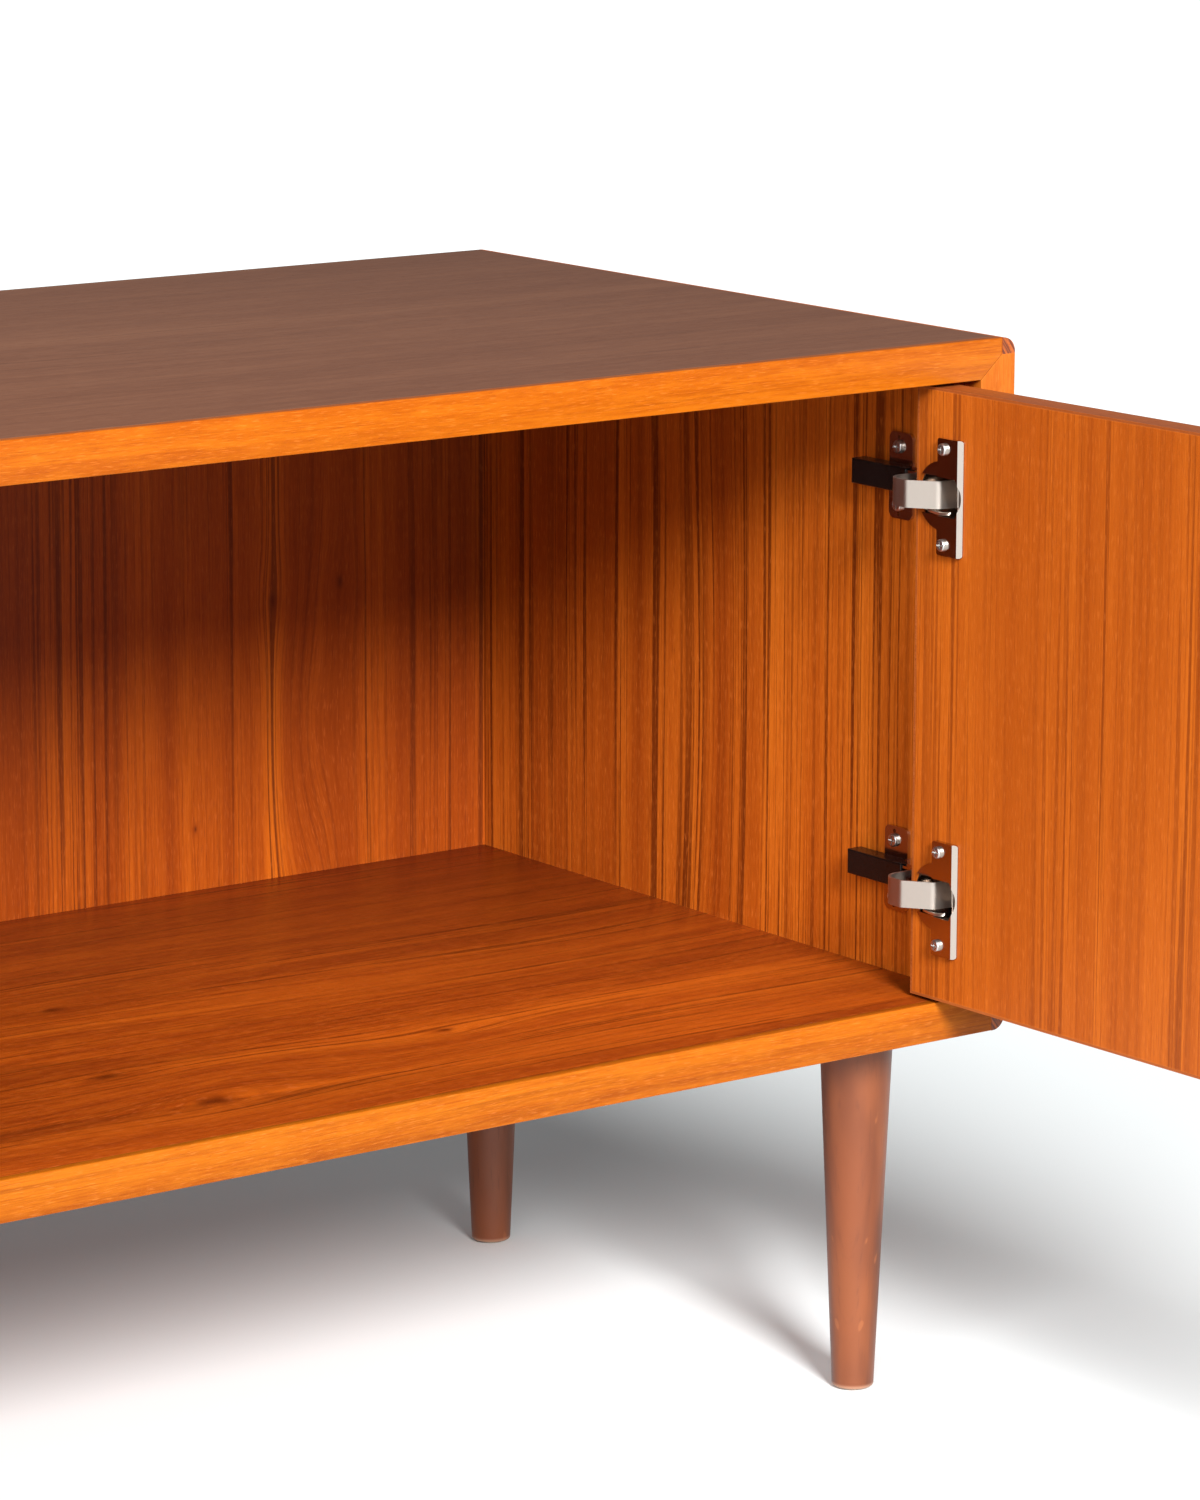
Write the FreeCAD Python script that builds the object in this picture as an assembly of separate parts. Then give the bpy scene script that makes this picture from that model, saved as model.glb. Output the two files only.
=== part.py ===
import FreeCAD, Part
import math
import os

# Low TV stand with two hinged doors, in millimetres.
# The model is laid out with x = 0 on the middle plane, y = 0 on the front faces, +y to the back,
# z = 0 on the floor, and is moved at the end so that the origin is the bottom centre of its box.

V = FreeCAD.Vector
UP = V(0, 0, 1)

# ---- driving dimensions: carcase ----
overall_width = 1400.0
depth = 488.0
carcase_height = 385.0
board_thickness = 22.0          # top and bottom
side_thickness = 23.5
partition_thickness = 22.0
lipping_depth = 6.0             # solid wood on the front edges
corner_strip = 9.0              # square solid strip along the four long outer corners
corner_radius = 8.0
top_edge_easing = 1.0
back_thickness = 9.0
back_inset = 15.0               # from the rear edges to the back panel
back_groove = 6.0
panel_fit = 0.2                 # slack of a panel in its groove
spline_thickness = 4.0          # loose tongues in the mitred corners
spline_width = 14.0
spline_fit = 0.1
spline_end_distance = 20.0      # from the lipping and from the back panel
dowel_diameter = 8.0            # hold the partition between bottom and top
dowel_in_partition = 18.0
dowel_cover = 8.8               # board left beyond the end of a dowel
dowel_front_distance = 90.0
dowel_rear_distance = 120.0

# ---- legs ----
leg_length = 214.0
leg_top_diameter = 42.0
leg_sole_diameter = 23.5
leg_side_inset = 50.0
leg_front_inset = 67.5
leg_sole_rounding = 1.8
glide_diameter = 17.0
glide_height = 4.0
glide_proud = 1.0
glide_rounding = 0.6
stud_diameter = 8.0
stud_length = 50.0
stud_in_board = 16.0
insert_diameter = 13.0
insert_hole_extra = 1.0         # hole deeper than the insert nut

# ---- doors ----
door_thickness = 16.5
door_gap = 2.0
edging_thickness = 1.5
opening_angle = 91.4            # right door at rest
left_door_angle = 0.0           # left door at rest
knob_diameter = 26.0
knob_length = 18.0
knob_from_free_edge = 42.0
knob_screw_diameter = 4.0
knob_screw_bite = 12.0          # screw in the knob
knob_screw_head_depth = 2.5
knob_screw_head_sunk = 0.2
knob_screw_slot = (1.0, 1.0)    # width and depth

# ---- concealed hinges: where the open door stands ----
hinge_from_door_end = 58.0
open_face_reach = 28.0          # side panel to the inner face of the open door
open_edge_setback = 2.8         # hinge edge of the open door behind the closed inner face
arm_pin_outer = (4.2, 6.1)      # from the side panel, and behind the closed inner face
arm_pin_inner = (14.5, 11.7)
outer_pin_from_pole = 6.0
inner_pin_from_pole = 3.6
arm_pin_radius = 1.0
cup_pin_radius = 0.9
pin_clearance = 0.05
press_clearance = 0.02
outer_link_thickness = 1.6
outer_link_height = 15.0
inner_link_thickness = 1.4
inner_link_height = 10.0
pin_eye_wall = 0.8              # metal round the arm pins in the links
cup_pin_eye_wall = 0.6
outer_link_standoff = 9.7       # inner face of the link to the open door
outer_link_rise = 15.1          # behind the closed inner face
outer_link_elbow = 16.6         # bend towards the cup, behind the cup pin of the open door
outer_link_mouth = (0.5, 1.9)   # bend in the cup mouth: below the open door's face, behind the pin
outer_link_bends = (4.0, 9.5, 4.0, 4.0)
inner_link_standoff = 1.2
inner_link_hump = (9.0, 0.4)    # bend beside the arm pin
inner_link_drop = 7.7           # from the arm pin to the bend at the open door
inner_link_hook = 1.8
inner_link_bends = (4.0, 5.0, 3.4)
cup_diameter = 35.0
cup_edge_wall = 3.5             # door left between the cup and the hinge edge
cup_wall = 0.7
cup_depth = 13.9                # inside
cup_floor = 0.5
cup_mouth_height = 21.2
cup_pin_overhang = 1.3          # of the cup pin beyond the mouth, each end
flange_height = 63.5
flange_width = 18.5
flange_from_edge = 20.0
flange_thickness = 3.0
flange_corner = 1.5
flange_chamfer = 2.3            # along the edge away from the hinge side
rim_thickness = 1.0
rim_width = 1.2
flange_screw_spacing = 52.0
flange_screw_from_edge = 25.0
plate_height = 48.0
plate_width = 20.0
plate_thickness = 2.0
plate_corner = 4.0
key_hole_diameter = 2.4
key_hole_reach = 5.2            # from the screw hole outwards
plate_front = 54.5              # behind the front faces
plate_screw_spacing = 32.0
plate_screw_from_front = 66.0
arm_cheek_thickness = 1.5
arm_cheek_gap = 0.7             # cheek to outer link
arm_cheek_beyond_pin = 2.2
arm_bridge_from_pin = 9.0       # plate across the cheeks, behind the inner arm pin
arm_pin_overhang = 0.4
arm_back = 92.0
arm_tail_height = 12.0
arm_tail_wall = 1.5
arm_reach = 11.0                # tail, from the side panel
cover_wall = 0.9
cover_front = 48.0
cover_fit = 0.1
cover_end = 2.5                 # cap beyond the end of the arm
cover_from_cheeks = 1.5
screw_diameter = 3.5
screw_head_diameter = 7.4
screw_head_height = 2.2
cup_screw_head_diameter = 6.6
screw_length = 13.0
screw_recess_width = 0.9
screw_hole_fit = 0.2            # through the metal pieces
overrun = 1.0                   # of cutting tools beyond the face they leave
hole_clearance = 0.05

# ---- derived positions ----
half_width = overall_width / 2
underside = leg_length + glide_proud
carcase_top = underside + carcase_height
inner_bottom = underside + board_thickness
inner_top = carcase_top - board_thickness
side_face = half_width - side_thickness
partition_face = partition_thickness / 2
back_front = depth - back_inset - back_thickness
door_width = side_face - partition_face - 2 * door_gap
door_height = inner_top - inner_bottom - 2 * door_gap
door_bottom = inner_bottom + door_gap
hinge_heights = (door_bottom + hinge_from_door_end, door_bottom + door_height - hinge_from_door_end)
hinge_names = ("lower", "upper")
cup_from_edge = cup_edge_wall + cup_diameter / 2
screw_tip = screw_diameter

nodes = {}


def box(x0, x1, y0, y1, z0, z1):
    return Part.makeBox(x1 - x0, y1 - y0, z1 - z0, V(x0, y0, z0))


def rod(radius, start, end):
    axis = end - start
    return Part.makeCylinder(radius, axis.Length, start, axis)


def prism(points, y0, y1):
    """A section in the XZ plane, run from y0 to y1."""
    wire = Part.makePolygon([V(x, y0, z) for x, z in points] + [V(points[0][0], y0, points[0][1])])
    return Part.Face(wire).extrude(V(0, y1 - y0, 0))


def mirrored(shape):
    return shape.mirror(V(0, 0, 0), V(1, 0, 0))


def turned(shape, centre, degrees):
    out = shape.copy()
    out.rotate(V(centre[0], centre[1], 0), UP, degrees)
    return out


def moved(shape, x, y, z):
    out = shape.copy()
    out.translate(V(x, y, z))
    return out


# ---------------------------------------------------------------- carcase

def board_sections():
    """XZ sections of the top, bottom and right side, mitred from the inside corner to the strip."""
    cx = half_width - corner_strip
    low = underside + corner_strip
    high = carcase_top - corner_strip
    top = [(-cx, carcase_top), (-cx, high), (-side_face, inner_top),
           (side_face, inner_top), (cx, high), (cx, carcase_top)]
    bottom = [(-cx, underside), (-cx, low), (-side_face, inner_bottom),
              (side_face, inner_bottom), (cx, low), (cx, underside)]
    side = [(half_width, low), (cx, low), (side_face, inner_bottom),
            (side_face, inner_top), (cx, high), (half_width, high)]
    return top, bottom, side


def corner_strips():
    """The strips along the four long outer corners, rounded outside, the full depth."""
    out = []
    for sx in (1, -1):
        for z0, sz in ((carcase_top - corner_strip, 1), (underside, -1)):
            x0 = half_width - corner_strip
            strip = box(x0, half_width, 0, depth, z0, z0 + corner_strip)
            outer_z = carcase_top if sz > 0 else underside
            edge = [e for e in strip.Edges
                    if all(abs(v.X - half_width) < 1e-6 and abs(v.Z - outer_z) < 1e-6
                           for v in e.Vertexes)]
            strip = strip.makeFillet(min(corner_radius, corner_strip - 0.5), edge)
            out.append(strip if sx > 0 else mirrored(strip))
    return out


def corner_splines(clearance):
    """Loose tongues square to the four mitres, half in each board."""
    out = []
    half_w = spline_width / 2 + clearance
    half_t = spline_thickness / 2 + clearance
    for sx in (1, -1):
        for sz in (1, -1):
            inner = V(side_face, 0, inner_top)
            outer = V(half_width - corner_strip, 0, carcase_top - corner_strip)
            middle = (inner + outer) * 0.5
            along = (outer - inner).normalize()
            across = V(along.z, 0, -along.x)
            points = []
            for u, w in ((-1, -1), (1, -1), (1, 1), (-1, 1)):
                p = middle + along * (u * half_t) + across * (w * half_w)
                z = p.z if sz > 0 else underside + carcase_top - p.z
                points.append((sx * p.x, z))
            front = lipping_depth + spline_end_distance - clearance
            out.append(prism(points, front, back_front - spline_end_distance + clearance))
    return out


def dowels(extra):
    """Dowels that hold the partition between the bottom and the top."""
    in_board = board_thickness - dowel_cover
    length = in_board + dowel_in_partition
    out = []
    for y in (dowel_front_distance, depth / 2, depth - dowel_rear_distance):
        for z in (inner_bottom - in_board, inner_top + in_board - length):
            start = V(0, y, z - extra)
            out.append(rod(dowel_diameter / 2 + extra, start, start + V(0, 0, length + 2 * extra)))
    return out


def leg_places():
    x = half_width - leg_side_inset
    y0, y1 = leg_front_inset, depth - leg_front_inset
    return (("front_left", -x, y0), ("front_right", x, y0), ("rear_left", -x, y1), ("rear_right", x, y1))


def make_carcase():
    top_points, bottom_points, side_points = board_sections()
    splines = corner_splines(spline_fit)
    pins = dowels(hole_clearance)
    groove = box(-side_face - back_groove, side_face + back_groove,
                 back_front, back_front + back_thickness,
                 inner_bottom - back_groove, inner_top + back_groove)
    top = prism(top_points, lipping_depth, depth)
    bottom = prism(bottom_points, lipping_depth, depth)
    right = prism(side_points, lipping_depth, depth)
    left = mirrored(right)
    insert_top = underside + stud_in_board + insert_hole_extra
    inserts = [rod(insert_diameter / 2, V(x, y, underside), V(x, y, insert_top))
               for name, x, y in leg_places()]
    nodes["top_panel"] = top.cut(splines + pins + [groove])
    nodes["bottom_panel"] = bottom.cut(splines + pins + [groove] + inserts)
    nodes["right_side_panel"] = right.cut(splines + [groove] + plate_screw_holes())
    nodes["left_side_panel"] = left.cut(splines + [groove] + [mirrored(h) for h in plate_screw_holes()])
    partition = box(-partition_face, partition_face, lipping_depth, back_front, inner_bottom, inner_top)
    nodes["centre_partition"] = partition.cut(pins)
    tongue = back_groove - panel_fit
    nodes["back_panel"] = box(-side_face - tongue, side_face + tongue,
                              back_front, back_front + back_thickness,
                              inner_bottom - tongue, inner_top + tongue)
    nodes["partition_dowels"] = Part.Compound(dowels(0))
    nodes["corner_splines"] = Part.Compound(corner_splines(0))

    lips = {"top_front_lipping": prism(top_points, 0, lipping_depth),
            "bottom_front_lipping": prism(bottom_points, 0, lipping_depth),
            "right_front_lipping": prism(side_points, 0, lipping_depth)}
    edge = [e for e in lips["top_front_lipping"].Edges
            if all(abs(v.Y) < 1e-6 and abs(v.Z - carcase_top) < 1e-6 for v in e.Vertexes)]
    lips["top_front_lipping"] = lips["top_front_lipping"].makeFillet(top_edge_easing, edge)
    lips["left_front_lipping"] = mirrored(lips["right_front_lipping"])
    nodes.update(lips)
    nodes["partition_front_lipping"] = box(-partition_face, partition_face, 0, lipping_depth,
                                           inner_bottom, inner_top)
    names = ("top_right", "bottom_right", "top_left", "bottom_left")
    for name, strip in zip(names, corner_strips()):
        nodes[name + "_corner_strip"] = strip


def make_legs():
    """Round tapered legs with a glide, each on a stud that screws into an insert nut."""
    r0, r1 = leg_sole_diameter / 2, leg_top_diameter / 2
    z0 = glide_proud
    cone = Part.makeCone(r0, r1, leg_length, V(0, 0, z0))
    sole = [e for e in cone.Edges if e.Closed and abs(e.CenterOfMass.z - z0) < 1e-6]
    cone = cone.makeFillet(leg_sole_rounding, sole)
    glide_hole = rod(glide_diameter / 2 + hole_clearance, V(0, 0, 0), V(0, 0, glide_height))
    stud_bottom = underside + stud_in_board - stud_length
    stud_room = rod(stud_diameter / 2 + hole_clearance, V(0, 0, stud_bottom), V(0, 0, underside))
    cone = cone.cut([glide_hole, stud_room])
    glide = rod(glide_diameter / 2, V(0, 0, 0), V(0, 0, glide_height))
    rim = [e for e in glide.Edges if e.Closed and abs(e.CenterOfMass.z) < 1e-6]
    glide = glide.makeFillet(glide_rounding, rim)
    stud = rod(stud_diameter / 2, V(0, 0, stud_bottom), V(0, 0, underside + stud_in_board))
    nut = rod(insert_diameter / 2 - hole_clearance, V(0, 0, underside), V(0, 0, underside + stud_in_board))
    nut = nut.cut(rod(stud_diameter / 2 + press_clearance, V(0, 0, underside), V(0, 0, carcase_top)))
    glides, studs, nuts = [], [], []
    for name, x, y in leg_places():
        nodes[name + "_leg"] = moved(cone, x, y, 0)
        glides.append(moved(glide, x, y, 0))
        studs.append(moved(stud, x, y, 0))
        nuts.append(moved(nut, x, y, 0))
    nodes["leg_glides"] = Part.Compound(glides)
    nodes["leg_studs"] = Part.Compound(studs)
    nodes["leg_insert_nuts"] = Part.Compound(nuts)


# ---------------------------------------------------------------- hinge linkage, in plan
# Plan of a right-hand hinge: x = 0 on the side panel's inner face and negative into the bay.

def turn_point(p, centre, degrees):
    a = math.radians(degrees)
    dx, dy = p[0] - centre[0], p[1] - centre[1]
    return (centre[0] + dx * math.cos(a) - dy * math.sin(a),
            centre[1] + dx * math.sin(a) + dy * math.cos(a))


def pole():
    """The point about which the door turns from closed to open."""
    closed = (-door_gap, door_thickness)
    opened = (-open_face_reach, door_thickness + open_edge_setback)
    half = 0.5 / math.tan(math.radians(opening_angle / 2))
    dx, dy = opened[0] - closed[0], opened[1] - closed[1]
    return ((closed[0] + opened[0]) / 2 - dy * half, (closed[1] + opened[1]) / 2 + dx * half)


def link_plan(arm_pin, from_pole, opposite):
    """Arm pin, cup pin with the door closed, cup pin with it open, and the link's turn."""
    c = pole()
    fixed = (-arm_pin[0], door_thickness + arm_pin[1])
    towards = math.degrees(math.atan2(fixed[1] - c[1], fixed[0] - c[0]))
    angle = math.radians(towards - opening_angle / 2 + (180 if opposite else 0))
    closed = (c[0] + from_pole * math.cos(angle), c[1] + from_pole * math.sin(angle))
    opened = turn_point(closed, c, opening_angle)
    start = math.atan2(closed[1] - fixed[1], closed[0] - fixed[0])
    end = math.atan2(opened[1] - fixed[1], opened[0] - fixed[0])
    turn = (math.degrees(end - start) + 180) % 360 - 180
    return fixed, closed, opened, turn


outer_fixed, outer_closed, outer_open, outer_turn = link_plan(arm_pin_outer, outer_pin_from_pole, True)
inner_fixed, inner_closed, inner_open, inner_turn = link_plan(arm_pin_inner, inner_pin_from_pole, False)


def offset_line(points, distance):
    """The points of a line of straight runs, moved sideways to its left."""
    normals = []
    for p, q in zip(points[:-1], points[1:]):
        n = V(p.y - q.y, q.x - p.x, 0)
        normals.append(n.normalize())
    out = [points[0] + normals[0] * distance]
    for p, n, m in zip(points[1:-1], normals[:-1], normals[1:]):
        out.append(p + (n + m) * (distance / (1 + n.dot(m))))
    out.append(points[-1] + normals[-1] * distance)
    return out


def rounded_edges(points, radii):
    """Straight runs joined by arcs of the given radii."""
    edges = []
    start = points[0]
    for before, corner, after, radius in zip(points[:-2], points[1:-1], points[2:], radii):
        u = (before - corner).normalize()
        w = (after - corner).normalize()
        half = u.getAngle(w) / 2
        back = radius / math.tan(half)
        middle_dir = (u + w).normalize()
        mid = corner + middle_dir * (radius / math.sin(half) - radius)
        edges.append(Part.LineSegment(start, corner + u * back).toShape())
        edges.append(Part.Arc(corner + u * back, mid, corner + w * back).toShape())
        start = corner + w * back
    edges.append(Part.LineSegment(start, points[-1]).toShape())
    return edges


def strip(points, radii, thickness, height):
    """A bent strip of sheet metal that stands on its edge, centred on z = 0."""
    line = [V(x, y, -height / 2) for x, y in points]
    left = offset_line(line, thickness / 2)
    right = offset_line(line, -thickness / 2)
    left_radii, right_radii = [], []
    for p, q, r, radius in zip(line[:-2], line[1:-1], line[2:], radii):
        left_turn = (q - p).cross(r - q).z > 0
        change = thickness / 2 if left_turn else -thickness / 2
        left_radii.append(radius - change)
        right_radii.append(radius + change)
    edges = rounded_edges(left, left_radii)
    edges.append(Part.LineSegment(left[-1], right[-1]).toShape())
    edges += rounded_edges(right[::-1], right_radii[::-1])
    edges.append(Part.LineSegment(right[0], left[0]).toShape())
    wire = Part.Wire(Part.__sortEdges__(edges))
    return Part.Face(wire).extrude(V(0, 0, height))


def tube_z(centre, radius, height):
    return rod(radius, V(centre[0], centre[1], -height / 2), V(centre[0], centre[1], height / 2))


def make_outer_link():
    """The wide link, shaped for the open door and drawn in that position."""
    t = outer_link_thickness
    x = -(open_face_reach + outer_link_standoff + t / 2)
    y_back = door_thickness + outer_link_rise
    mouth = (-open_face_reach + outer_link_mouth[0], outer_open[1] + outer_link_mouth[1])
    points = [outer_fixed, (outer_fixed[0] - t / 2, y_back), (x, y_back),
              (x, outer_open[1] + outer_link_elbow), mouth, outer_open]
    body = strip(points, outer_link_bends, t, outer_link_height)
    body = body.fuse([tube_z(outer_fixed, arm_pin_radius + pin_eye_wall, outer_link_height),
                      tube_z(outer_open, cup_pin_radius + cup_pin_eye_wall, outer_link_height)])
    holes = [tube_z(outer_fixed, arm_pin_radius + pin_clearance, outer_link_height),
             tube_z(outer_open, cup_pin_radius + pin_clearance, outer_link_height)]
    return body.cut(holes).removeSplitter()


def make_inner_link():
    """The narrow link inside the wide one, drawn with the door open."""
    t = inner_link_thickness
    x = -(open_face_reach + inner_link_standoff + t / 2)
    hump = (inner_fixed[0] - inner_link_hump[0], inner_fixed[1] + inner_link_hump[1])
    points = [inner_fixed, hump, (x, inner_fixed[1] - inner_link_drop),
              (x, inner_open[1] + inner_link_hook), inner_open]
    body = strip(points, inner_link_bends, t, inner_link_height)
    body = body.fuse([tube_z(inner_fixed, arm_pin_radius + pin_eye_wall, inner_link_height),
                      tube_z(inner_open, t, inner_link_height)])
    hole = tube_z(inner_fixed, arm_pin_radius + pin_clearance, inner_link_height)
    return body.cut(hole).removeSplitter()


def make_arm():
    """Two cheeks that hold the arm pins, a plate across them and a narrow tail."""
    inside = outer_link_height / 2 + arm_cheek_gap
    outside = inside + arm_cheek_thickness
    x0, x1 = -plate_thickness, inner_fixed[0] - arm_cheek_beyond_pin
    y_end = cover_front - cover_from_cheeks
    y_bridge = inner_fixed[1] + arm_bridge_from_pin
    wall = arm_tail_wall
    r = arm_pin_radius + cup_pin_eye_wall
    outline = [(outer_fixed[0] - r / 2, outer_fixed[1] - r * 0.8),
               (inner_fixed[0] - r / 2, inner_fixed[1] - r), (x1, inner_fixed[1]), (x1, y_bridge),
               (-arm_reach, y_end), (x0, y_end), (x0, outer_fixed[1]), (outer_fixed[0] + r, outer_fixed[1])]
    corners = [V(x, y, inside) for x, y in outline]
    cheek = Part.Face(Part.makePolygon(corners + corners[:1])).extrude(V(0, 0, arm_cheek_thickness))
    cheek = cheek.fuse([Part.makeCylinder(radius, arm_cheek_thickness, V(centre[0], centre[1], inside))
                        for centre, radius in ((outer_fixed, r), (inner_fixed, arm_cheek_beyond_pin))])
    lower_cheek = cheek.mirror(V(0, 0, 0), UP)
    bridge = box(x0 - wall, x0, y_bridge, y_end, -outside, outside)
    half = arm_tail_height / 2
    tail = box(-arm_reach, x0, y_bridge + 2 * wall, arm_back, -half, half)
    slot = box(-arm_reach, x0 - wall, y_bridge + 3 * wall, arm_back - wall, -half + wall, half - wall)
    arm = cheek.fuse([lower_cheek, bridge, tail.cut(slot)])
    holes = [tube_z(p, arm_pin_radius + press_clearance, 2 * outside) for p in (outer_fixed, inner_fixed)]
    return arm.cut(holes).removeSplitter()


def make_cover():
    """Moulded cap over the tail of the arm."""
    half_room = arm_tail_height / 2 + cover_fit
    half = half_room + cover_wall
    x1 = -arm_reach - cover_fit - cover_wall
    shell = box(x1, -plate_thickness - cover_fit, cover_front, arm_back + cover_wall + cover_end, -half, half)
    outer_edges = [e for e in shell.Edges
                   if all(abs(v.X - x1) < 1e-6 for v in e.Vertexes)]
    shell = shell.makeFillet(cover_wall, outer_edges)
    room = box(-arm_reach - cover_fit, 0, cover_front, arm_back + cover_fit, -half_room, half_room)
    return shell.cut(room)


def cross_screw(head_diameter, diameter, length):
    """Pan head screw with a cross recess; the head's underside is on x = 0 and points to -x."""
    r = head_diameter / 2
    head = Part.makeCylinder(r, screw_head_height, V(0, 0, 0), V(-1, 0, 0))
    rim = [e for e in head.Edges if e.Closed and abs(e.CenterOfMass.x + screw_head_height) < 1e-6]
    rounding = screw_head_height * 0.45
    head = head.makeFillet(rounding, rim)
    arm = r - rounding
    half = screw_recess_width / 2
    for a, b in ((arm, half), (half, arm)):
        head = head.cut(box(-screw_head_height, -rounding, -a, a, -b, b))
    shank = Part.makeCylinder(diameter / 2, length, V(0, 0, 0), V(1, 0, 0))
    tip = Part.makeCone(diameter / 2, diameter / 10, screw_tip, V(length, 0, 0), V(1, 0, 0))
    return head.fuse([shank, tip]).removeSplitter()


def plate_screw_places():
    return [(plate_screw_from_front, s * plate_screw_spacing / 2) for s in (-1, 1)]


def plate_screw_holes():
    """Pilot holes for the mounting plate screws in the right side panel."""
    out = []
    for height in hinge_heights:
        for y, z in plate_screw_places():
            start = V(side_face, y, height + z)
            end = start + V(screw_length + screw_tip - plate_thickness + 0.5, 0, 0)
            out.append(rod(screw_diameter / 2 + hole_clearance, start, end))
    return out


def make_plate():
    """Wing plate on the side panel, with a screw hole and a small key hole in each wing."""
    half = plate_height / 2
    plate = box(-plate_thickness, 0, plate_front, plate_front + plate_width, -half, half)
    corners = [e for e in plate.Edges if abs(e.tangentAt(e.FirstParameter).x) > 0.99]
    plate = plate.makeFillet(plate_corner, corners)
    cuts = []
    for y, z in plate_screw_places():
        outwards = key_hole_reach if z > 0 else -key_hole_reach
        cuts.append(rod(screw_diameter / 2 + screw_hole_fit, V(-plate_thickness, y, z), V(0, y, z)))
        cuts.append(rod(key_hole_diameter / 2, V(-plate_thickness, y, z + outwards), V(0, y, z + outwards)))
    return plate.cut(cuts)


def make_cup():
    """Cup in closed-door position: hinge edge at x = -door_gap, inner face at y = door_thickness."""
    cx = -door_gap - cup_from_edge
    face = door_thickness
    bottom = face - cup_depth - cup_floor
    radius = cup_diameter / 2
    mouth = cup_mouth_height / 2
    shell = Part.makeCylinder(radius, face - bottom, V(cx, bottom, 0), V(0, 1, 0))
    front = face + flange_thickness
    far = radius + rim_width
    rim = Part.makeCylinder(far, rim_thickness, V(cx, face, 0), V(0, 1, 0))
    rim = rim.cut(box(cx - far - overrun, cx + overrun, face - overrun, front, -far, far))
    rim = rim.cut(box(cx - far, cx + far + overrun, face - overrun, front, -mouth, mouth))
    near = -door_gap - flange_from_edge
    flange = box(near - flange_width, near, face, front, -flange_height / 2, flange_height / 2)
    corners = [e for e in flange.Edges if abs(e.tangentAt(e.FirstParameter).y) > 0.99]
    flange = flange.makeFillet(flange_corner, corners)
    far_x = near - flange_width
    wedge = [(far_x, front - flange_chamfer), (far_x + flange_chamfer, front), (far_x, front)]
    corners = [V(x, y, -flange_height / 2) for x, y in wedge]
    flange = flange.cut(Part.Face(Part.makePolygon(corners + corners[:1])).extrude(V(0, 0, flange_height)))
    inside = face - cup_depth
    pocket = rod(radius - cup_wall, V(cx, inside, 0), V(cx, front + overrun, 0))
    pocket = pocket.common(box(cx - far, cx + far, inside, front + overrun, -mouth, mouth))
    cup = shell.fuse(flange.fuse(rim)).cut(pocket)
    pin_hole = tube_z(outer_closed, cup_pin_radius + press_clearance, cup_pin_length() + overrun)
    screws = [rod(screw_diameter / 2 + screw_hole_fit, V(x, face - overrun, z), V(x, front + overrun, z))
              for x, z in cup_screw_places()]
    return cup.cut([pin_hole] + screws).removeSplitter()


def cup_pin_length():
    return cup_mouth_height + 2 * cup_pin_overhang


def cup_screw_places():
    x = -door_gap - flange_screw_from_edge
    return [(x, s * flange_screw_spacing / 2) for s in (-1, 1)]


def cup_screw_depth():
    """How deep the pilot holes of the cup screws go into the door."""
    return screw_length + screw_tip - flange_thickness + 0.5


def make_hinge_pieces():
    """All pieces of one hinge as (name, body, shape), right-hand, centred on z = 0.

    Door pieces are drawn with the door closed, and links with it open.
    """
    reach = outer_link_height / 2 + arm_cheek_gap + arm_cheek_thickness + arm_pin_overhang
    arm_pins = [tube_z(p, arm_pin_radius, 2 * reach) for p in (outer_fixed, inner_fixed)]
    plate_screws = []
    for y, z in plate_screw_places():
        screw = cross_screw(screw_head_diameter, screw_diameter, screw_length)
        plate_screws.append(moved(screw, -plate_thickness, y, z))
    cup_screws = []
    for x, z in cup_screw_places():
        screw = cross_screw(cup_screw_head_diameter, screw_diameter, screw_length)
        screw = turned(screw, (0, 0), -90)
        cup_screws.append(moved(screw, x, door_thickness + flange_thickness, z))
    return (("mounting_plates", "carcase", make_plate()),
            ("arm", "carcase", make_arm()),
            ("arm_covers", "carcase", make_cover()),
            ("arm_pins", "carcase", Part.Compound(arm_pins)),
            ("plate_screws", "carcase", Part.Compound(plate_screws)),
            ("outer_link", "outer", make_outer_link()),
            ("inner_link", "inner", make_inner_link()),
            ("cup", "door", make_cup()),
            ("cup_pins", "door", tube_z(outer_closed, cup_pin_radius, cup_pin_length())),
            ("cup_screws", "door", Part.Compound(cup_screws)))


# ---------------------------------------------------------------- doors

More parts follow.
